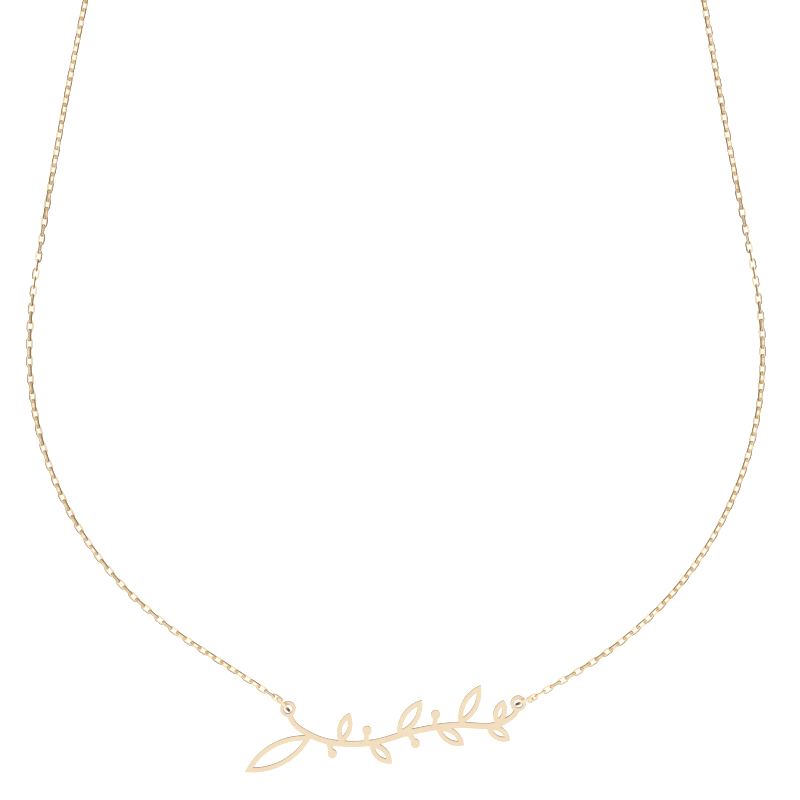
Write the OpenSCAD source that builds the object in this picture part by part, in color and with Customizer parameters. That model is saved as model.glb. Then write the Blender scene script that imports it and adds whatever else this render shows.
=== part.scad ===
// A fine gold necklace: a flat cut-out plate with an eyelet at each end, a jump ring in
// each eyelet, a cable chain of oval links on each side, and a spring ring clasp.
// It lies on a table as a closed loop. The plate is at the front, at the lowest y.

/* [Chain] */
// Distance from the middle of one link to the middle of the next
link_pitch = 1.333; // [1.2:0.001:1.6]
// Width of a link across its two straight sides
link_w = 1.06; // [1.02:0.01:1.2]
// Thickness of the wire that the links are bent from
link_wire = 0.2; // [0.14:0.01:0.2]
// Free space between two links where one passes through the other
link_play = 0.11; // [0.11:0.005:0.2]

/* [Plate] */
// Distance between the two eyelet holes
plate_span = 34.9; // [30:0.1:45]
// Height of the sprig, from the lowest leaf to the highest
plate_h = 12.8; // [11:0.1:16]
// Thickness of the sheet that the plate is cut from
plate_t = 0.7; // [0.5:0.05:0.9]
// Width of the stem
pen_w = 0.92; // [0.7:0.01:1.1]
// Length of the longest leaf
leaf_l = 11.6; // [8:0.1:12]
// Width of a leaf's rim
leaf_rim = 0.76; // [0.6:0.01:0.9]
// Diameter of a berry
berry_d = 1.45; // [1.2:0.05:2]
// Outer diameter of an eyelet
eyelet_od = 2.42; // [2.3:0.01:3]
// Diameter of the hole in an eyelet
eyelet_hole = 1.3; // [1.2:0.01:1.4]

/* [Jump rings] */
// Outer diameter of a jump ring
ring_od = 3.0; // [2.8:0.05:3.4]
// Thickness of a jump ring's wire
ring_wire = 0.42; // [0.32:0.01:0.42]
// How far a jump ring leans over from upright, in degrees
ring_lean = 6; // [0:1:10]

/* [Clasp] */
// Outer diameter of the spring ring
clasp_od = 5.5; // [5:0.1:7]
// Thickness of the spring ring's tube
clasp_wire = 1.0; // [0.8:0.05:1.2]
// Outer diameter of the clasp's own small loop
loop_od = 1.7; // [1.5:0.05:2.2]
// Thickness of the small loop's wire
loop_wire = 0.36; // [0.3:0.01:0.4]
// Outer diameter of the ring that the clasp hooks into
end_ring_od = 3.0; // [2.8:0.05:3.4]

/* [Fit] */
// Free space between a ring and what it holds
ring_play = 0.13; // [0.11:0.01:0.2]

/* [Hidden] */
gold = [0.90, 0.80, 0.64];
pale_gold = [0.95, 0.87, 0.74];
$fn = 48;

// How the necklace lies. The plate's two holes lie on a line that rises a little to the
// right, and its middle is a little to the right of the loop's.
plate_middle = [1.07, -68.96];
plate_turn = 1.4;

// Which way each jump ring points from its hole, and which way its chain goes on from it
left_ring = 133.8;
left_start = 146.6;
right_ring = 20.9;
right_start = 29.8;

// The chain's route on each side, outwards from the jump ring. A row is one stretch:
// its length and the angle that it turns through. The last row runs to its end.
LENGTH = 0;
TURN = 1;
left_route = [[14, 0.9], [10, -8.6], [46, -50.8], [10, -7.1], [42, -2.6]];
right_route = [[6, 0.4], [10, 7.4], [58, 60.5], [8, 3.4], [38, -2.1]];
left_links = 91;
right_links = 90;

// How the chain is twisted. A row is a distance from the jump ring, and the roll there of
// every second link. The links between are turned by 90 degrees more.
left_roll = [
    [0, 0], [4, 40], [10, 43], [16, 35], [20, 25], [31, 25], [35, 33], [61, 33],
    [70, 28], [75, 15], [81, 0], [88, -15], [93, -27], [99, -33], [107, -38], [113, -41]
];
right_roll = [
    [0, 0], [3, -22], [12, -28], [17, -40], [20, -45], [44, -45], [50, -42], [63, -40],
    [70, -30], [77, -5], [86, 5], [93, 22], [97, 45], [100, 53]
];

// The sprig. The stem's rows are shares of plate_span from its middle, and of plate_h
// from the line of the holes, with the stroke's width as a share of pen_w.
X = 0;
Y = 1;
WIDE = 2;
stem = [
    [-0.500, -0.060, 0.9],
    [-0.455, -0.230, 0.9],
    [-0.330, -0.400, 1.0],
    [-0.150, -0.430, 1.0],
    [0.050, -0.300, 1.0],
    [0.220, -0.240, 1.0],
    [0.380, -0.260, 1.0],
    [0.465, -0.170, 0.9],
    [0.500, -0.060, 0.9]
];

// The leaves: place along the stem, as a share of its rows, the angle that the leaf
// points to, its length as a share of leaf_l, and its width as a share of its length.
PLACE = 0;
ANGLE = 1;
LONG = 2;
SLIM = 3;
leaves = [
    [0.190, 207, 1.00, 0.32],
    [0.290, 72, 0.42, 0.46],
    [0.375, -44, 0.40, 0.48],
    [0.450, 54, 0.58, 0.39],
    [0.565, -34, 0.44, 0.46],
    [0.640, 60, 0.60, 0.37],
    [0.730, -32, 0.37, 0.50],
    [0.775, 72, 0.34, 0.52]
];

// The berries: place along the stem, the angle that the stalk points to, and its length
// as a share of leaf_l.
berries = [
    [0.250, -72, 0.17],
    [0.365, 84, 0.17],
    [0.480, -58, 0.17],
    [0.560, 84, 0.17]
];

// Sizes that follow from the ones above
link_l = link_pitch + 2 * link_wire + link_play;
bow_r = (link_w - link_wire) / 2;
ring_r = (ring_od - ring_wire) / 2;
ring_z = ring_r * cos(ring_lean) + ring_wire / 2;
ring_reach = ring_r + ring_wire / 2 + ring_play - eyelet_hole / 2;
under_rim = ring_r - sqrt(pow(ring_r, 2) - pow(ring_reach - eyelet_hole / 2, 2));
plate_lift = ring_wire + under_rim + ring_play;

// The first link hangs on its jump ring below the ring's middle, at this angle
hold = 35;
hold_z = ring_z - ring_r * sin(hold);
hold_out = ring_reach + ring_r * cos(hold);
hold_side = ring_r * sin(hold) * sin(ring_lean);
grip = ring_wire / 2 / cos(hold) + link_wire / 2 * tan(hold) + ring_play;
first_link = link_l / 2 - link_wire - grip;
settle = 6;

// Where things are on the table: [x, y], or [x, y, heading]
function turned(v, angle) = [v.x * cos(angle) - v.y * sin(angle), v.x * sin(angle) + v.y * cos(angle)];
left_hole = plate_middle + turned([-plate_span / 2, 0], plate_turn);
right_hole = plate_middle + turned([plate_span / 2, 0], plate_turn);
left_first = left_hole + turned([hold_out, hold_side], left_ring)
    + turned([first_link, 0], left_start);
right_first = right_hole + turned([hold_out, -hold_side], right_ring)
    + turned([first_link, 0], right_start);
left_from = [left_first.x, left_first.y, left_start];
right_from = [right_first.x, right_first.y, right_start];

// The place that is reached by running on from another while turning by an angle
function run_on(from, run, bend) =
    let (chord = bend == 0 ? run : run * sin(bend / 2) / (bend / 2 * PI / 180))
    let (way = from[2] + bend / 2)
    [from.x + chord * cos(way), from.y + chord * sin(way), from[2] + bend];

// The place at a distance along a route
function along(route, run, from, row = 0) =
    run <= route[row][LENGTH] || row == len(route) - 1
    ? run_on(from, run, route[row][TURN] * run / route[row][LENGTH])
    : along(route, run - route[row][LENGTH], run_on(from, route[row][LENGTH], route[row][TURN]), row + 1);

// The height of a link's middle: every other link stands on its side, and near the jump
// ring the chain is lifted
function link_z(run) = link_w / 2 + (hold_z - link_w / 2) * pow(max(0, 1 - run / settle), 2);

// The top of the loop is one round arch through the ends of the two routes
left_end = along(left_route, left_links * link_pitch, left_from);
right_end = along(right_route, right_links * link_pitch, right_from);
arch_chord = [right_end.x - left_end.x, right_end.y - left_end.y];
arch_half = (left_end[2] + 180 - right_end[2]) / 2;
arch_r = norm(arch_chord) / 2 / sin(arch_half);
arch_centre = [left_end.x, left_end.y] + arch_chord / 2
    + [arch_chord.y, -arch_chord.x] / norm(arch_chord) * arch_r * cos(arch_half);
arch_left = atan2(left_end.y - arch_centre.y, left_end.x - arch_centre.x);
arch_right = atan2(right_end.y - arch_centre.y, right_end.x - arch_centre.x);
function arch_turn(length) = length / arch_r * 180 / PI;
function on_arch(angle) = arch_centre + arch_r * [cos(angle), sin(angle)];

// The clasp's ring leans: its right side is held up by the ring that it hooks into
clasp_r = (clasp_od - clasp_wire) / 2;
end_ring_r = (end_ring_od - ring_wire) / 2;
end_ring_z = end_ring_od / 2;
clasp_hook = end_ring_r - (ring_wire + clasp_wire) / 2 - ring_play;
clasp_rise = end_ring_z - clasp_hook * sin(45) - clasp_wire / 2;
clasp_lean = asin(clasp_rise / 2 / clasp_r);
clasp_z = clasp_wire / 2 + clasp_rise / 2;
end_ring_out = clasp_r * cos(clasp_lean) + clasp_hook * cos(45);
loop_out = (clasp_od + loop_od) / 2 - loop_wire;
clasp_angle = 90 + arch_turn((end_ring_out + end_ring_od / 2 - loop_out - loop_od / 2) / 2);
tube_gap = 0.12;
tube_left_end = clasp_angle + arch_turn(loop_out + loop_od / 2 + tube_gap);
tube_right_end = clasp_angle - arch_turn(end_ring_out + end_ring_od / 2 + tube_gap);

// The stem's middle line, smooth through its rows
function through(a, b, c, d, t) =
    (2 * b + (c - a) * t + (2 * a - 5 * b + 4 * c - d) * t * t + (3 * b - a - 3 * c + d) * t * t * t) / 2;
function stem_row(i) = [stem[i][X] * plate_span, stem[i][Y] * plate_h, stem[i][WIDE] * pen_w];
function stem_part(i, t) =
    let (b = stem_row(i))
    let (c = stem_row(i + 1))
    let (a = i == 0 ? 2 * b - c : stem_row(i - 1))
    let (d = i == len(stem) - 2 ? 2 * c - b : stem_row(i + 2))
    through(a, b, c, d, t);
function stem_at(place) =
    let (rows = place * (len(stem) - 1))
    let (i = max(0, min(floor(rows), len(stem) - 2)))
    stem_part(i, rows - i);
function stem_side(place, side) =
    let (ahead = stem_at(place + 0.002))
    let (back = stem_at(place - 0.002))
    let (way = atan2(ahead.y - back.y, ahead.x - back.x))
    let (here = stem_at(place))
    [here.x, here.y] + side * here[2] / 2 * [-sin(way), cos(way)];
stem_cuts = 64;

// The lowest leaf tip rests on the table, and the holes' line is held up by the rings
function leaf_tip(leaf) =
    stem_at(leaf[PLACE]).y + leaf[LONG] * leaf_l * sin(leaf[ANGLE]);
plate_lean = asin(plate_lift / (leaf_rim / 4 - min([for (leaf = leaves) leaf_tip(leaf)])));

module stem() {
    upper = [for (i = [0:stem_cuts]) stem_side(i / stem_cuts, 1)];
    lower = [for (i = [0:stem_cuts]) stem_side(1 - i / stem_cuts, -1)];
    linear_extrude(plate_t) polygon(concat(upper, lower));
}

module lens(r, apart) {
    intersection() {
        translate([0, apart]) circle(r);
        translate([0, -apart]) circle(r);
    }
}

module leaf(length, width) {
    r = (pow(length, 2) + pow(width, 2)) / 4 / width;
    apart = r - width / 2;
    translate([length / 2, 0, 0])
    linear_extrude(plate_t)
    difference() {
        lens(r, apart);
        lens(r - leaf_rim, apart);
    }
}

module berry(length) {
    translate([0, -leaf_rim / 2, 0]) cube([length, leaf_rim, plate_t]);
    translate([length, 0, 0]) cylinder(d = berry_d, h = plate_t);
}

module on_stem(row) {
    translate([stem_at(row[PLACE]).x, stem_at(row[PLACE]).y, 0])
    rotate([0, 0, row[ANGLE]])
    children();
}

module sprig() {
    stem();
    for (row = leaves)
        on_stem(row) leaf(row[LONG] * leaf_l, row[LONG] * row[SLIM] * leaf_l);
    for (row = berries)
        on_stem(row) berry(row[LONG] * leaf_l);
    for (side = [-1, 1])
        translate([side * plate_span / 2, 0, 0]) cylinder(d = eyelet_od, h = plate_t);
}

module leaf_sprig_plate() {
    color(pale_gold)
    translate([plate_middle.x, plate_middle.y, plate_lift])
    rotate([plate_lean, 0, plate_turn])
    difference() {
        sprig($fn = 96);
        for (side = [-1, 1])
            translate([side * plate_span / 2, 0, -plate_t])
            cylinder(d = eyelet_hole, h = 3 * plate_t);
    }
}

module wire_ring(r, wire) {
    rotate_extrude() translate([r, 0]) circle(d = wire);
}

module jump_ring(hole, heading, lean) {
    color(gold)
    translate([hole.x, hole.y, ring_z])
    rotate([0, 0, heading])
    translate([ring_reach, 0, 0])
    rotate([90 + lean, 0, 0])
    wire_ring(ring_r, ring_wire);
}

module jump_ring_left() {
    jump_ring(left_hole, left_ring, ring_lean);
}

module jump_ring_right() {
    jump_ring(right_hole, right_ring, -ring_lean);
}

module link() {
    leg = link_l - link_w;
    for (side = [-1, 1]) {
        translate([side * leg / 2, 0, 0])
        rotate([0, 0, -side * 90])
        rotate_extrude(angle = 180) translate([bow_r, 0]) circle(d = link_wire);
        translate([-leg / 2, side * bow_r, 0])
        rotate([0, 90, 0])
        cylinder(d = link_wire, h = leg);
    }
}

module chain(route, from, rolls, links) {
    color(gold)
    for (i = [0:links - 1]) {
        run = i * link_pitch;
        place = along(route, run, from);
        slope = atan2(link_z(run + link_pitch / 2) - link_z(run - link_pitch / 2), link_pitch);
        translate([place.x, place.y, link_z(run)])
        rotate([lookup(run, rolls) + i % 2 * 90, -slope, place[2]])
        link();
    }
}

module chain_left() {
    chain(left_route, left_from, left_roll, left_links);
}

module chain_right() {
    chain(right_route, right_from, right_roll, right_links);
}

// The stretch of chain at the back of the neck, as a plain tube of the chain's width
TUBE_SIDES = 8;
module chain_tube(start, end) {
    cuts = ceil(arch_r * abs(start - end) * PI / 180 / link_w / 2.5);
    flip = start > end ? 1 : -1;
    points = [
        for (i = [0:cuts])
        for (k = [0:TUBE_SIDES - 1])
            let (angle = start + (end - start) * i / cuts)
            let (around = flip * (k + 0.5) * 360 / TUBE_SIDES)
            let (r = arch_r + link_w / 2 * cos(around))
            [
                arch_centre.x + r * cos(angle),
                arch_centre.y + r * sin(angle),
                link_w / 2 * (1 + sin(around))
            ]
    ];
    sides = [
        for (i = [0:cuts - 1])
        for (k = [0:TUBE_SIDES - 1])
            let (next = (k + 1) % TUBE_SIDES)
            [
                i * TUBE_SIDES + k,
                (i + 1) * TUBE_SIDES + k,
                (i + 1) * TUBE_SIDES + next,
                i * TUBE_SIDES + next
            ]
    ];
    near = [for (k = [0:TUBE_SIDES - 1]) k];
    far = [for (k = [0:TUBE_SIDES - 1]) (cuts + 1) * TUBE_SIDES - 1 - k];
    color(gold)
    polyhedron(points, concat(sides, [near], [far]));
}

module back_chain_left() {
    chain_tube(arch_left - arch_turn(tube_gap - link_pitch + link_l / 2), tube_left_end);
}

module back_chain_right() {
    chain_tube(arch_right + arch_turn(tube_gap - link_pitch + link_l / 2), tube_right_end);
}

module spring_ring_clasp() {
    color(gold)
    translate([on_arch(clasp_angle).x, on_arch(clasp_angle).y, clasp_z])
    rotate([0, -clasp_lean, clasp_angle - 90]) {
        wire_ring(clasp_r, clasp_wire);
        translate([-loop_out, 0, 0]) wire_ring((loop_od - loop_wire) / 2, loop_wire);
    }
}

module end_ring() {
    angle = clasp_angle - arch_turn(end_ring_out);
    color(gold)
    translate([on_arch(angle).x, on_arch(angle).y, end_ring_z])
    rotate([90, 0, angle - 90])
    wire_ring(end_ring_r, ring_wire);
}

leaf_sprig_plate();
jump_ring_left();
jump_ring_right();
chain_left();
chain_right();
back_chain_left();
back_chain_right();
spring_ring_clasp();
end_ring();
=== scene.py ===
import math

import bmesh
import bpy
import numpy as np
from mathutils import Matrix, Vector


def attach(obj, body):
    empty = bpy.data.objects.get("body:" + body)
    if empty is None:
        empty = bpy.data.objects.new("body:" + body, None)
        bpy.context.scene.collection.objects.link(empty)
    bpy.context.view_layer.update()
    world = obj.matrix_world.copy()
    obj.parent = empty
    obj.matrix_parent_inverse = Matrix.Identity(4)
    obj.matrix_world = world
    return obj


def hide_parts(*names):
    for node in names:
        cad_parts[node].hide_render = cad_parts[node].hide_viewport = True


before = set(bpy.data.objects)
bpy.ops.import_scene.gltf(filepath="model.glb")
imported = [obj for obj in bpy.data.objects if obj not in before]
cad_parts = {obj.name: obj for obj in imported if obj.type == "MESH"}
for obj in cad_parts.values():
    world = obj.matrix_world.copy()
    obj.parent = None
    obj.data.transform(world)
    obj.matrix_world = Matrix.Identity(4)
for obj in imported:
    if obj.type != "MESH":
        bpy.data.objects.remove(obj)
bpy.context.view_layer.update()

MM = 0.001


# The plate is one piece of gold sheet, a leaf sprig sawn out along its outline with an eyelet
# at each end. Its faces are polished flat, its sawn walls are left a little rougher and are
# painted darker as shade, and the sharp rim is broken by a fine round bevel.
RIM_BEVEL = 0.045 * MM
RIM_STEPS = 3
SAME_POINT = 0.0005 * MM
FLAT_ENOUGH = math.radians(0.5)

# How upright a normal is: on the sheet's own faces at least, and on its walls at most
FACE_UP = 0.9
WALL_UP = 0.5

SHEET_GOLD = (0.898, 0.755, 0.538, 1)
SHEET_ROSE = (0.890, 0.718, 0.510, 1)
# The sawn walls' two golds are painted shade, in place of the shade they mirror beside the plate
SAWN_SHADE_GOLD = (0.460, 0.305, 0.160, 1)
SAWN_DEEP_SHADE = (0.330, 0.205, 0.100, 1)

# The faces' finish: specks to a millimetre along x, y and z, from where to where in its
# cloud the gold turns rosier, how rough it is and what the specks add, and its fine lines
SHEET_CLOUD = (0.35, 0.35, 0.35)
SHEET_HAZE = (1.6, 1.1, 1.6)
POLISH_LINES = (1.2, 26.0, 1.2)
ROSE_SPREAD = (0.35, 0.65)
SHEET_ROUGH = 0.16
HAZE_ROUGHER = 0.10
LINES_ROUGHER = 0.06
LINES_BUMP = 0.05
LINES_DEEP = 0.004 * MM

# The sawn walls' finish and their patches of painted shade, given in the same way
SAW_STROKES = (9.0, 9.0, 1.0)
SAWN_PATCHES = (0.8, 0.8, 0.8)
STROKES_SHOW = 0.4
SAWN_SHADE_SPREAD = (0.5, 0.9)
SAWN_ROUGH = 0.30
STROKES_ROUGHER = 0.18
STROKES_BUMP = 0.25
STROKES_DEEP = 0.01 * MM


class Field:
    """A value or colour that varies over a surface: one output of a node in a material."""

    def __init__(self, tree, socket):
        self.tree = tree
        self.socket = socket

    def node(self, kind, settings, inputs, output=0):
        """Adds one node: its settings first, then a number, a colour or a Field for each input."""
        made = self.tree.nodes.new(kind)
        for name, value in settings.items():
            setattr(made, name, value)
        for name, value in inputs.items():
            if isinstance(value, Field):
                self.tree.links.new(value.socket, made.inputs[name])
            else:
                made.inputs[name].default_value = value
        return Field(self.tree, made.outputs[output])

    def __add__(self, other):
        return self.node("ShaderNodeMath", {"operation": "ADD"}, {0: self, 1: other})

    def __mul__(self, other):
        return self.node("ShaderNodeMath", {"operation": "MULTIPLY"}, {0: self, 1: other})

    __radd__ = __add__
    __rmul__ = __mul__


def start_material(name, metal=1.0):
    """A new material with its shader and output, and the Object coordinates as a Field."""
    material = bpy.data.materials.new(name)
    material.use_nodes = True
    tree = material.node_tree
    tree.nodes.clear()
    shader = tree.nodes.new("ShaderNodeBsdfPrincipled")
    shader.inputs["Metallic"].default_value = metal
    output = tree.nodes.new("ShaderNodeOutputMaterial")
    tree.links.new(shader.outputs[0], output.inputs[0])
    places = tree.nodes.new("ShaderNodeTexCoord")
    return material, shader, Field(tree, places.outputs["Object"])


def noise(places, per_mm, detail=3.0):
    """Even noise with about per_mm specks to a millimetre, one number for each axis."""
    stretched = places.node(
        "ShaderNodeVectorMath", {"operation": "MULTIPLY"}, {0: places, 1: [n / MM for n in per_mm]}
    )
    return places.node(
        "ShaderNodeTexNoise", {}, {"Vector": stretched, "Scale": 1.0, "Detail": detail}
    )


def mix_colours(amount, first, second):
    return amount.node(
        "ShaderNodeMix", {"data_type": "RGBA"}, {0: amount, 6: first, 7: second}, output=2
    )


def stretch(value, low, high):
    """Takes low to 0 and high to 1, and keeps what lies outside at 0 or 1."""
    return value.node(
        "ShaderNodeMapRange", {}, {"Value": value, "From Min": low, "From Max": high}
    )


def bump(height, strength, depth):
    return height.node(
        "ShaderNodeBump", {}, {"Height": height, "Strength": strength, "Distance": depth}
    )


def connect(shader, **fields):
    """Links each Field to the shader's socket of that name, with _ for a space."""
    for name, field in fields.items():
        field.tree.links.new(field.socket, shader.inputs[name.replace("_", " ")])


def polished_sheet():
    material, shader, places = start_material("polished_sheet_gold")
    cloud = noise(places, SHEET_CLOUD)
    haze = noise(places, SHEET_HAZE, detail=4.0)
    lines = noise(places, POLISH_LINES, detail=2.0)
    connect(
        shader,
        Base_Color=mix_colours(stretch(cloud, *ROSE_SPREAD), SHEET_GOLD, SHEET_ROSE),
        Roughness=SHEET_ROUGH + HAZE_ROUGHER * haze + LINES_ROUGHER * lines,
        Normal=bump(lines, LINES_BUMP, LINES_DEEP),
    )
    return material


def sawn_wall():
    material, shader, places = start_material("sawn_wall_painted_shade")
    strokes = noise(places, SAW_STROKES)
    # Painted shade on the walls, darker in patches
    dark = stretch(noise(places, SAWN_PATCHES) + STROKES_SHOW * strokes, *SAWN_SHADE_SPREAD)
    connect(
        shader,
        Base_Color=mix_colours(dark, SAWN_SHADE_GOLD, SAWN_DEEP_SHADE),
        Roughness=SAWN_ROUGH + STROKES_ROUGHER * strokes,
        Normal=bump(strokes, STROKES_BUMP, STROKES_DEEP),
    )
    return material


def cad_shape(node):
    """A copy of a CAD node with its loose triangles joined at their corners."""
    shape = bmesh.new()
    shape.from_mesh(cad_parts[node].data)
    bmesh.ops.remove_doubles(shape, verts=shape.verts, dist=SAME_POINT)
    return shape


def is_rim(edge):
    """True between a face of the sheet and its wall."""
    ups = sorted(abs(face.normal.z) for face in edge.link_faces)
    return len(ups) == 2 and ups[0] < WALL_UP and ups[1] > FACE_UP


def round_edges(shape, edges, offset, steps, clamp=True):
    bmesh.ops.bevel(
        shape, geom=edges, affect="EDGES", offset=offset, offset_type="OFFSET", segments=steps,
        profile=0.5, material=-1, clamp_overlap=clamp
    )


def add_object(shape, name, *materials):
    """Turns a bmesh into an object of the scene, and frees it."""
    mesh = bpy.data.meshes.new(name)
    shape.to_mesh(mesh)
    shape.free()
    for material in materials:
        mesh.materials.append(material)
    added = bpy.data.objects.new(name, mesh)
    bpy.context.scene.collection.objects.link(added)
    return added


def show(shape, name, slot, *materials, replaced):
    """Turns a bmesh into a piece that rides on the one body and stands for those CAD nodes."""
    piece = add_object(shape, name, *materials)
    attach(piece, "root")
    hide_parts(*replaced)


plate = cad_shape("leaf_sprig_plate")
bmesh.ops.dissolve_limit(
    plate, angle_limit=FLAT_ENOUGH, verts=plate.verts, edges=plate.edges
)
round_edges(
    plate, [edge for edge in plate.edges if is_rim(edge)], RIM_BEVEL, RIM_STEPS, clamp=False
)
for face in plate.faces:
    face.smooth = abs(face.normal.z) < FACE_UP
    face.material_index = int(abs(face.normal.z) < WALL_UP)
show(
    plate, "sprig_plate", "plate_gold", polished_sheet(), sawn_wall(),
    replaced=["leaf_sprig_plate"]
)


# The two jump rings are bent from round gold wire and closed end to end. Each one passes
# down through an eyelet of the plate and up through the first link of its chain.
RING_WIRE = 0.42 * MM
RING_SLIT = math.radians(0.7)
RING_SIDES = 20
RING_STEPS = 72
SHARP = math.radians(50)

# A ring carries painted shade on one side, for these two the side in the eyelet under the
# plate: from this share of its radius on, and fully so after that much more
SHADE_FROM = 0.35
SHADE_OVER = 0.20

# The wire's gold in two tones that differ at random, and the gold of its painted shade
WIRE_GOLD = (0.965, 0.820, 0.570, 1)
WIRE_DEEP = (0.925, 0.750, 0.485, 1)
SHADED_GOLD = (0.190, 0.085, 0.010, 1)

# The wire's finish, given as the sheet's is, and how much of the shaded gold the painted shade has
WIRE_GRAIN = (3.0, 3.0, 3.0)
WIRE_SCRATCHES = (22.0, 22.0, 22.0)
GRAIN_SHOWS = 0.5
DEEP_SPREAD = (0.35, 1.0)
DEEPEST = 0.95
SHADE_LEAST = 0.85
SHADE_GRAIN = 0.3
WIRE_ROUGH = 0.12
GRAIN_ROUGHER = 0.10
SHADE_ROUGHER = 0.12
SCRATCHES_BUMP = 0.06
SCRATCHES_DEEP = 0.004 * MM


def attribute(places, name):
    """What a piece's vertices hold under that name."""
    return places.node("ShaderNodeAttribute", {"attribute_name": name}, {}, output="Fac")


def drawn_wire():
    """Wire that is of a deeper gold by its attribute tone, and darker by painted shade from its
    attribute shade.
    """
    material, shader, places = start_material("drawn_wire_gold_painted_shade")
    grain = noise(places, WIRE_GRAIN, detail=4.0)
    scratches = noise(places, WIRE_SCRATCHES, detail=2.0)
    deep = stretch(attribute(places, "tone") + GRAIN_SHOWS * grain, *DEEP_SPREAD)
    shade = DEEPEST * stretch(attribute(places, "shade"), 0.0, 1.0)
    shaded = shade * (SHADE_LEAST + SHADE_GRAIN * grain)
    connect(
        shader,
        Base_Color=mix_colours(shaded, mix_colours(deep, WIRE_GOLD, WIRE_DEEP), SHADED_GOLD),
        Roughness=WIRE_ROUGH + GRAIN_ROUGHER * grain + SHADE_ROUGHER * shade,
        Normal=bump(scratches, SCRATCHES_BUMP, SCRATCHES_DEEP),
    )
    return material


WIRE_GOLD_AND_SHADE = drawn_wire()


def directions(points):
    """The middle of some points, and the directions they spread in, the widest one first."""
    middle = (points.max(0) + points.min(0)) / 2
    spread = np.linalg.svd(points - points.mean(0), full_matrices=False)[2]
    for axis in spread:
        along = points @ axis
        middle = middle + axis * ((along.max() + along.min()) / 2 - middle @ axis)
    return Vector(middle), [Vector(axis) for axis in spread]


def corners(node):
    return np.array([v.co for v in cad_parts[node].data.vertices])


def placed(middle, x_way, z_way):
    """The matrix that puts a shape's middle at a place, with its x and z axes turned that way."""
    z_way = z_way.normalized()
    y_way = z_way.cross(x_way).normalized()
    turned = Matrix([y_way.cross(z_way), y_way, z_way]).transposed()
    return Matrix.Translation(middle) @ turned.to_4x4()


def edges_at(verts):
    """The edges at some vertices, each one once and always in the same order."""
    return list(dict.fromkeys(edge for vert in verts for edge in vert.link_edges))


def sharp_ones(edges):
    return [edge for edge in edges if edge.calc_face_angle(0) > SHARP]


def shade_wire(shape):
    """Smooth round the wire, and sharp at its cut ends and tight corners."""
    for face in shape.faces:
        face.smooth = True
    for edge in shape.edges:
        edge.smooth = edge.calc_face_angle(0) < SHARP


def wire_arc(shape, across, wire, start, turn, steps, sides=RING_SIDES):
    """A closed piece of round wire, bent round the z axis from one angle on by a turn."""
    section = bmesh.ops.create_circle(
        shape, cap_ends=True, segments=sides, radius=wire / 2,
        matrix=Matrix.Rotation(start, 4, "Z") @ Matrix.Translation(((across - wire) / 2, 0, 0))
        @ Matrix.Rotation(math.pi / 2, 4, "X")
    )["verts"]
    outline = section + edges_at(section)
    cap = section[0].link_faces[:]
    whole = turn >= 2 * math.pi
    if whole:
        bmesh.ops.delete(shape, geom=cap, context="FACES_ONLY")
        cap = []
    bmesh.ops.spin(
        shape, geom=outline + cap, cent=(0, 0, 0), axis=(0, 0, 1), dvec=(0, 0, 0), angle=turn,
        steps=steps, use_merge=whole, use_duplicate=False
    )


def jump_ring(node, name, slit_side, shaded_side):
    """A ring in the place of a CAD ring, with its slit and its end of painted shade on those
    sides.
    """
    points = corners(node)
    middle, (_, _, axle) = directions(points)
    across = 2 * np.linalg.norm(points - np.array(middle), axis=1).max()
    ring = bmesh.new()
    wire_arc(
        ring, across, RING_WIRE, RING_SLIT / 2, 2 * math.pi - RING_SLIT, RING_STEPS
    )
    bmesh.ops.recalc_face_normals(ring, faces=ring.faces)
    bmesh.ops.transform(ring, matrix=placed(middle, slit_side, axle), verts=ring.verts)
    shade = ring.verts.layers.float.new("shade")
    # Painted shade, growing towards shaded_side
    for vert in ring.verts:
        towards = (vert.co - middle).dot(shaded_side.normalized()) / (across / 2)
        vert[shade] = (towards - SHADE_FROM) / SHADE_OVER
    shade_wire(ring)
    show(ring, name, "wire_gold", WIRE_GOLD_AND_SHADE, replaced=[node])


jump_ring(
    "jump_ring_left", "left_jump_ring",
    slit_side=Vector((-0.2, 0.3, 0.8)), shaded_side=Vector((0.69, -0.72, 0))
)
jump_ring(
    "jump_ring_right", "right_jump_ring",
    slit_side=Vector((0.3, 0.2, 0.8)), shaded_side=Vector((-0.93, -0.36, 0))
)


# The chain is a fine cable chain. Each link is bent from one piece of square wire, closed
# through the one before and soldered. Its outer edges carry painted shade.
PITCH = 1.333 * MM
LINK_WIRE = 0.28 * MM
LINK_PLAY = 0.12 * MM
LINK_WIDE = 1.10 * MM
LINK_LONG = PITCH + 2 * LINK_WIRE + LINK_PLAY
BOW_STEPS = 4
RIDGE = math.radians(30)

# The painted shade begins where the side of a link turns outwards by this much. It begins sooner
# on the leg that lies higher than on the lower one, and later on links that run along x.
UPPER_FROM = -0.15
LOWER_FROM = 0.55
CROSSWISE_LESS = 0.65
LINE_OVER = 0.20

# No two neighbours lie or shine alike. A link's roll follows the sine of its number times
# the golden angle in radians, and its tone the sine of its number times that angle's square.
UNEVEN_ROLL = math.radians(3)
UNEVEN_STEP = 2.399

# The corners of the wire: outwards and upwards from its middle, as shares of half of it
WIRE_SECTION = [
    (1.0, -0.7), (1.0, 0.7), (0.7, 1.0), (-0.7, 1.0),
    (-1.0, 0.7), (-1.0, -0.7), (-0.7, -1.0), (0.7, -1.0)
]


def from_axis(vert, half_leg):
    """How far a link's corner is from the line between the middles of its two bows."""
    return math.hypot(max(0.0, abs(vert.co.x) - half_leg), vert.co.y)


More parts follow.
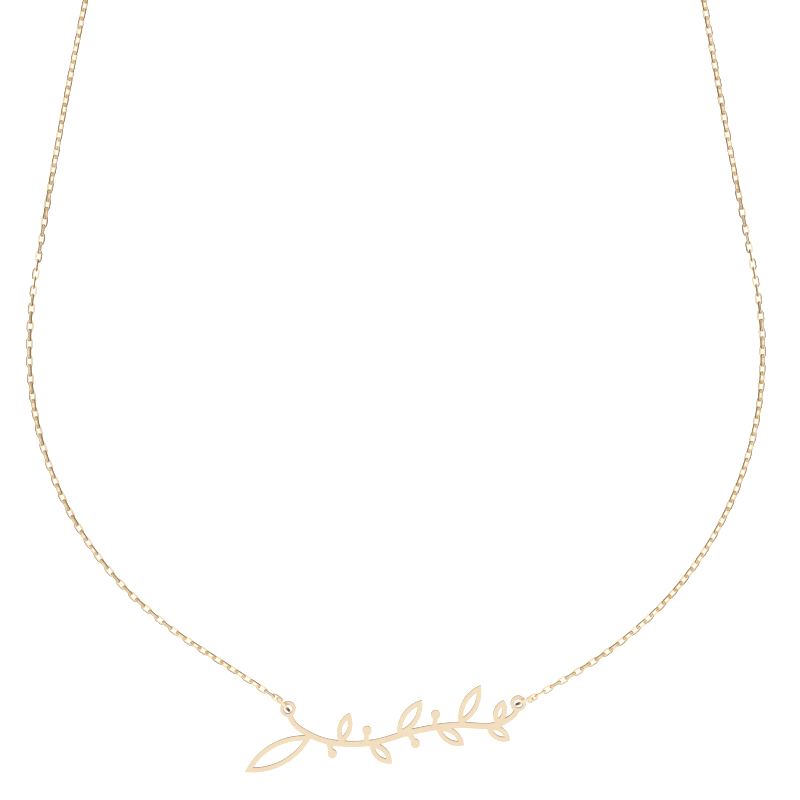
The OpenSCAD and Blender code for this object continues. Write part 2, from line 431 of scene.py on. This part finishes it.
def make_link():
    """One link, long in x and wide in y, with the ridges that run along its wire sharp."""
    bow = (LINK_WIDE - LINK_WIRE) / 2
    half_leg = (LINK_LONG - LINK_WIDE) / 2
    link = bmesh.new()
    section = [
        link.verts.new((half_leg, -bow - out * LINK_WIRE / 2, up * LINK_WIRE / 2))
        for out, up in WIRE_SECTION
    ]
    ends = section + [link.edges.new((vert, section[n - 1])) for n, vert in enumerate(section)]
    for side in (1, -1):
        bent = bmesh.ops.spin(
            link, geom=ends, cent=(side * half_leg, 0, 0), axis=(0, 0, 1), dvec=(0, 0, 0),
            angle=math.pi, steps=BOW_STEPS, use_merge=False, use_duplicate=False
        )["geom_last"]
        leg = bmesh.ops.extrude_edge_only(
            link, edges=[part for part in bent if isinstance(part, bmesh.types.BMEdge)]
        )["geom"]
        bmesh.ops.translate(
            link, vec=(-side * 2 * half_leg, 0, 0),
            verts=[part for part in leg if isinstance(part, bmesh.types.BMVert)]
        )
        ends = [part for part in leg if not isinstance(part, bmesh.types.BMFace)]
    bmesh.ops.remove_doubles(link, verts=link.verts, dist=SAME_POINT)
    bmesh.ops.recalc_face_normals(link, faces=link.faces)
    for face in link.faces:
        face.smooth = True
    for edge in link.edges:
        rise = edge.verts[0].co.z - edge.verts[1].co.z
        spread = from_axis(edge.verts[0], half_leg) - from_axis(edge.verts[1], half_leg)
        runs_along = max(abs(rise), abs(spread)) < SAME_POINT
        edge.smooth = not runs_along or edge.calc_face_angle(0) < RIDGE
    for name in ("shade", "tone"):
        link.verts.layers.float.new(name)
    mesh = bpy.data.meshes.new("link")
    link.to_mesh(mesh)
    link.free()
    return mesh


def add_link(chain, mesh, place, number):
    """Adds a link to a chain, with its own small roll, its own gold and painted shade on its
    edges.
    """
    first = len(chain.verts)
    chain.from_mesh(mesh)
    chain.verts.ensure_lookup_table()
    own = chain.verts[first:]
    place = place @ Matrix.Rotation(UNEVEN_ROLL * math.sin(number * UNEVEN_STEP), 4, "X")
    own_tone = 0.5 + 0.5 * math.sin(number * UNEVEN_STEP * UNEVEN_STEP)
    turned = place.to_3x3()
    across = Vector((0, 0, 1)).cross(turned.col[0]).normalized()
    thinner = CROSSWISE_LESS * (1 - abs(across.x))
    tone = chain.verts.layers.float["tone"]
    shade = chain.verts.layers.float["shade"]
    # Painted shade on the link's outer side, deeper on its higher leg
    for vert in own:
        side = math.copysign(1, vert.co.y * turned.col[1].dot(across))
        outer = (turned @ vert.normal).dot(across) * side
        line_from = UPPER_FROM if vert.co.y * turned.col[1].z > 0 else LOWER_FROM
        vert[shade] = (outer - line_from - thinner) / LINE_OVER
        vert[tone] = own_tone
    bmesh.ops.transform(chain, matrix=place, verts=own)


def loose_pieces(node):
    """The corners of each separate link of a CAD chain, always in the same order."""
    shape = cad_shape(node)
    seen = set()
    pieces = []
    for first in shape.verts:
        if first in seen:
            continue
        seen.add(first)
        ahead = [first]
        piece = []
        while ahead:
            vert = ahead.pop()
            piece.append(vert.co[:])
            for edge in vert.link_edges:
                other = edge.other_vert(vert)
                if other not in seen:
                    seen.add(other)
                    ahead.append(other)
        pieces.append(np.array(piece))
    shape.free()
    return pieces


def link_places(node, start):
    """Where each CAD link is, in order from the start: its middle and its three directions."""
    found = [directions(piece) for piece in loose_pieces(node)]
    ordered = []
    here = start
    while found:
        nearest = min(found, key=lambda link: (link[0] - here).length)
        found.remove(nearest)
        ordered.append(nearest)
        here = nearest[0]
    return ordered


def extent(points, axis):
    along = points @ np.array(axis)
    return along.max() - along.min()


# The links are wider here than in the solids, and are raised so that they lie on the table
one_link = loose_pieces("chain_left")[0]
_, (_, wide_way, _) = directions(one_link)
LINK_LIFT = Vector((0, 0, (LINK_WIDE - extent(one_link, wide_way)) / 2))
LINK = make_link()


def hang_chain(node, name, ring):
    """A chain of links in the places of the CAD links. Returns the places, ring end first."""
    links = link_places(node, directions(corners(ring))[0])
    chain = bmesh.new()
    for number, (middle, (long_way, _, thin_way)) in enumerate(links):
        add_link(chain, LINK, placed(middle + LINK_LIFT, long_way, thin_way), number)
    show(chain, name, "wire_gold", WIRE_GOLD_AND_SHADE, replaced=[node])
    return links


left_links = hang_chain("chain_left", "left_chain", "jump_ring_left")
right_links = hang_chain("chain_right", "right_chain", "jump_ring_right")


# The ring that the clasp hooks into is a larger jump ring. It stands on edge, held up by
# the spring ring on one side and by the chain's last link on the other.
END_MIDDLE = directions(corners("end_ring"))[0]
END_RADIUS = (corners("end_ring")[:, 2].max() - RING_WIRE) / 2
jump_ring(
    "end_ring", "clasp_end_ring",
    slit_side=Vector((0.4, 0, 0.9)), shaded_side=Vector((0, 0, -1))
)


# The clasp is a spring ring: a tube bent round to a ring, a bolt that slides in it and is
# opened by a small trigger, and a soldered loop that holds the chain's last link. The loop
# sits a little high on the tube, so that the link can pass under it on the table.
CLASP_ACROSS = 5.5 * MM
CLASP_TUBE = 1.0 * MM
TUBE_BEVEL = 0.06 * MM
TUBE_BEVEL_STEPS = 2
BOLT_WIRE = 0.86 * MM
BOLT_START = math.radians(60)
BOLT_TURN = math.radians(50)
BOLT_HIDDEN = BOLT_TURN / 4
BOLT_STEPS = 24
TRIGGER_AT = math.radians(118)
TRIGGER_ACROSS = 0.55 * MM
TRIGGER_TALL = 0.75 * MM
TRIGGER_OUT = TRIGGER_TALL / 4
TRIGGER_BEVEL = 0.1 * MM
TRIGGER_BEVEL_STEPS = 3
LOOP_ACROSS = 1.7 * MM
LOOP_WIRE = 0.36 * MM
LOOP_RAISED = 0.30 * MM
LOOP_SIDES = 16
LOOP_STEPS = 36

clasp_points = corners("spring_ring_clasp")
clasp_centre, (clasp_way, _, clasp_up) = directions(clasp_points)
if clasp_way.dot(END_MIDDLE - Vector(clasp_points.mean(0))) < 0:
    clasp_way.negate()
if clasp_up.z < 0:
    clasp_up.negate()
along_clasp = clasp_points @ np.array(clasp_way)


def on_clasp_line(distance):
    """The place that far along the clasp's middle line, counted as along_clasp is."""
    return clasp_centre + clasp_way * (distance - clasp_centre.dot(clasp_way))


CLASP_MIDDLE = on_clasp_line(along_clasp.max() - CLASP_ACROSS / 2)
LOOP_MIDDLE = on_clasp_line(along_clasp.min() + LOOP_ACROSS / 2)

clasp = bmesh.new()
wire_arc(clasp, LOOP_ACROSS, LOOP_WIRE, 0, 2 * math.pi, LOOP_STEPS, LOOP_SIDES)
bmesh.ops.translate(
    clasp, vec=(-(CLASP_MIDDLE - LOOP_MIDDLE).length, 0, LOOP_RAISED), verts=clasp.verts
)
wire_arc(
    clasp, CLASP_ACROSS, CLASP_TUBE, BOLT_START + BOLT_TURN, 2 * math.pi - BOLT_TURN, RING_STEPS
)
round_edges(clasp, sharp_ones(clasp.edges), TUBE_BEVEL, TUBE_BEVEL_STEPS)
wire_arc(
    clasp, CLASP_ACROSS - CLASP_TUBE + BOLT_WIRE, BOLT_WIRE, BOLT_START - BOLT_HIDDEN,
    BOLT_TURN + 2 * BOLT_HIDDEN, BOLT_STEPS
)
trigger = bmesh.ops.create_cone(
    clasp, cap_ends=True, segments=RING_SIDES, radius1=TRIGGER_ACROSS / 2,
    radius2=TRIGGER_ACROSS / 2, depth=TRIGGER_TALL,
    matrix=Matrix.Rotation(TRIGGER_AT, 4, "Z")
    @ Matrix.Translation((CLASP_ACROSS / 2 + TRIGGER_OUT, 0, 0))
    @ Matrix.Rotation(math.pi / 2, 4, "Y")
)["verts"]
round_edges(clasp, sharp_ones(edges_at(trigger)), TRIGGER_BEVEL, TRIGGER_BEVEL_STEPS)
bmesh.ops.recalc_face_normals(clasp, faces=clasp.faces)
bmesh.ops.transform(clasp, matrix=placed(CLASP_MIDDLE, clasp_way, clasp_up), verts=clasp.verts)
shade_wire(clasp)
show(clasp, "spring_ring", "wire_gold", WIRE_GOLD_AND_SHADE, replaced=["spring_ring_clasp"])


# The chain goes on behind the neck with the same links, to the clasp's loop on the left
# and to the end ring on the right. Its last link lies flat or upright to hook in.
HOOK_PLAY = 0.08 * MM

# At what angle below its middle the end ring is held, and over what length the chain rises
HOLD = math.radians(35)
SETTLE = 6 * MM


def arch_of(*nodes):
    """The middle and the radius of the round arch that the CAD's tubes follow."""
    places = np.concatenate([corners(node)[:, :2] for node in nodes])
    rows = np.c_[2 * places, np.ones(len(places))]
    (x, y, rest), *_ = np.linalg.lstsq(rows, (places ** 2).sum(1), rcond=None)
    return Vector((x, y, 0)), math.sqrt(rest + x * x + y * y)


ARCH_MIDDLE, ARCH_RADIUS = arch_of("back_chain_left", "back_chain_right")


def arch_angle(point):
    return math.atan2(point.y - ARCH_MIDDLE.y, point.x - ARCH_MIDDLE.x)


def close_chain(node, name, last, hook, reach, last_roll, lift, count_from):
    """Links along the arch from the last visible one to the one that hooks in.

    hook is the middle of what it hooks into and reach the last link's distance from it.
    lift is how much higher the last link is, and last_roll how far it is turned from flat.
    """
    middle, (_, wide_way, _) = last
    start = arch_angle(middle)
    way = 1 if arch_angle(hook) > start else -1
    length = ARCH_RADIUS * abs(arch_angle(hook) - start) - reach
    count = math.ceil(length / PITCH)
    ahead = Vector((-math.sin(start), math.cos(start), 0)) * way
    across = Vector((0, 0, 1)).cross(ahead)
    first_roll = math.atan2(wide_way.z, wide_way.dot(across))

    # Each link has a quarter of a turn against the one before, and its share of the remainder
    over = last_roll - first_roll - count * math.pi / 2
    remainder = (over + math.pi / 2) % math.pi - math.pi / 2
    low = middle.z + LINK_LIFT.z
    chain = bmesh.new()
    for number in range(1, count + 1):
        run = length * number / count
        angle = start + way * run / ARCH_RADIUS
        outward = Vector((math.cos(angle), math.sin(angle), 0))
        ahead = Vector((-math.sin(angle), math.cos(angle), 0)) * way
        near = max(0.0, 1 - (length - run) / SETTLE)
        slope = 2 * lift * near / SETTLE
        roll = first_roll + number * math.pi / 2 + remainder * number / count
        across = Vector((0, 0, 1)).cross(ahead)
        along = (ahead + Vector((0, 0, slope))).normalized()
        above = along.cross(across)
        thin = above * math.cos(roll) - across * math.sin(roll)
        here = ARCH_MIDDLE + outward * ARCH_RADIUS + Vector((0, 0, low + lift * near ** 2))
        add_link(chain, LINK, placed(here, along, thin), count_from + number)
    show(chain, name, "wire_gold", WIRE_GOLD_AND_SHADE, replaced=[node])


loop_grip = (LOOP_ACROSS - LOOP_WIRE) / 2 - LOOP_WIRE / 2 - HOOK_PLAY
close_chain(
    "back_chain_left", "left_back_chain", left_links[-1], LOOP_MIDDLE,
    reach=loop_grip - LINK_WIRE + LINK_LONG / 2, last_roll=math.pi / 2, lift=0.0,
    count_from=len(left_links)
)
ring_grip = (
    END_RADIUS * math.cos(HOLD) - RING_WIRE / 2 / math.cos(HOLD)
    - LINK_WIRE / 2 * math.tan(HOLD) - HOOK_PLAY
)
end_lift = END_MIDDLE.z - END_RADIUS * math.sin(HOLD) - right_links[-1][0].z
close_chain(
    "back_chain_right", "right_back_chain", right_links[-1], END_MIDDLE,
    reach=ring_grip - LINK_WIRE + LINK_LONG / 2, last_roll=0.0, lift=end_lift,
    count_from=len(right_links)
)


# The necklace lies on a plain white table that is lit from inside, as for a catalogue
# picture, so that it throws almost no shadow. What the gold mirrors of it is in the light
# below, with the shade that real pieces throw. This is the stage and not part of it.
TABLE_SIDE = 6000 * MM
TABLE_WHITE = (0.80, 0.80, 0.80, 1)
GLOW_WHITE = (1, 1, 1, 1)
TABLE_GLOW = 0.90

table_material, table_shader, _ = start_material("white_table", metal=0.0)
table_shader.inputs["Base Color"].default_value = TABLE_WHITE
table_shader.inputs["Roughness"].default_value = 1.0
table_shader.inputs["Specular IOR Level"].default_value = 0.0
table_shader.inputs["Emission Color"].default_value = GLOW_WHITE
table_shader.inputs["Emission Strength"].default_value = TABLE_GLOW
table_shape = bmesh.new()
bmesh.ops.create_grid(table_shape, x_segments=1, y_segments=1, size=TABLE_SIDE / 2)
table = add_object(table_shape, "table", table_material)
table.visible_glossy = False


# The light is a wide soft box that comes down below the horizon, so that the gold mirrors
# it nearly all over. Only the lowest parts of a wire mirror the shade on the table: a warm
# dark one towards the two sides, and a pale one towards the two ends.
SOFT_BOX = (1.0, 1.0, 1.0, 1)
SIDE_WALLS = (0.30, 0.21, 0.13, 1)
END_WALLS = (0.92, 0.88, 0.82, 1)
BACKDROP = (1.0, 1.0, 1.0, 1)

# Over what squares of a direction's y the sides turn into the ends, and over what z the
# walls turn into the soft box
ENDS = (0.05, 0.45)
WALL_TOP = (-0.60, -0.30)

world = bpy.data.worlds.new("studio")
world.use_nodes = True
sky = world.node_tree
sky.nodes.clear()
sky_way = Field(sky, sky.nodes.new("ShaderNodeTexCoord").outputs["Generated"])
upwards = sky_way.node("ShaderNodeSeparateXYZ", {}, {0: sky_way}, output="Z")
endways = sky_way.node("ShaderNodeSeparateXYZ", {}, {0: sky_way}, output="Y")
walls = mix_colours(stretch(endways * endways, *ENDS), SIDE_WALLS, END_WALLS)
mirrored = mix_colours(stretch(upwards, *WALL_TOP), walls, SOFT_BOX)
seen = sky_way.node("ShaderNodeLightPath", {}, {}, output="Is Camera Ray")
shown = mix_colours(seen, mirrored, BACKDROP)
light = shown.node("ShaderNodeBackground", {}, {"Color": shown})
sky_output = sky.nodes.new("ShaderNodeOutputWorld")
sky.links.new(light.socket, sky_output.inputs[0])
bpy.context.scene.world = world
bpy.context.scene.view_settings.view_transform = "Standard"


# The camera looks straight down, as the photo's does, from above the middle of its frame.
# The frame takes in the plate and both chains up to where the photo cuts them off.
CAMERA_OVER = (0.60 * MM, -22.60 * MM)
CAMERA_HEIGHT = 500 * MM
FRAME_ACROSS = 121.4 * MM
SENSOR = 36.0
SEES_FROM = 10 * MM
SEES_TO = 20000 * MM

camera_data = bpy.data.cameras.new("camera")
camera_data.sensor_width = SENSOR
camera_data.lens = SENSOR * CAMERA_HEIGHT / FRAME_ACROSS
camera_data.clip_start = SEES_FROM
camera_data.clip_end = SEES_TO
camera = bpy.data.objects.new("camera", camera_data)
camera.location = (*CAMERA_OVER, CAMERA_HEIGHT)
bpy.context.scene.collection.objects.link(camera)
bpy.context.scene.camera = camera
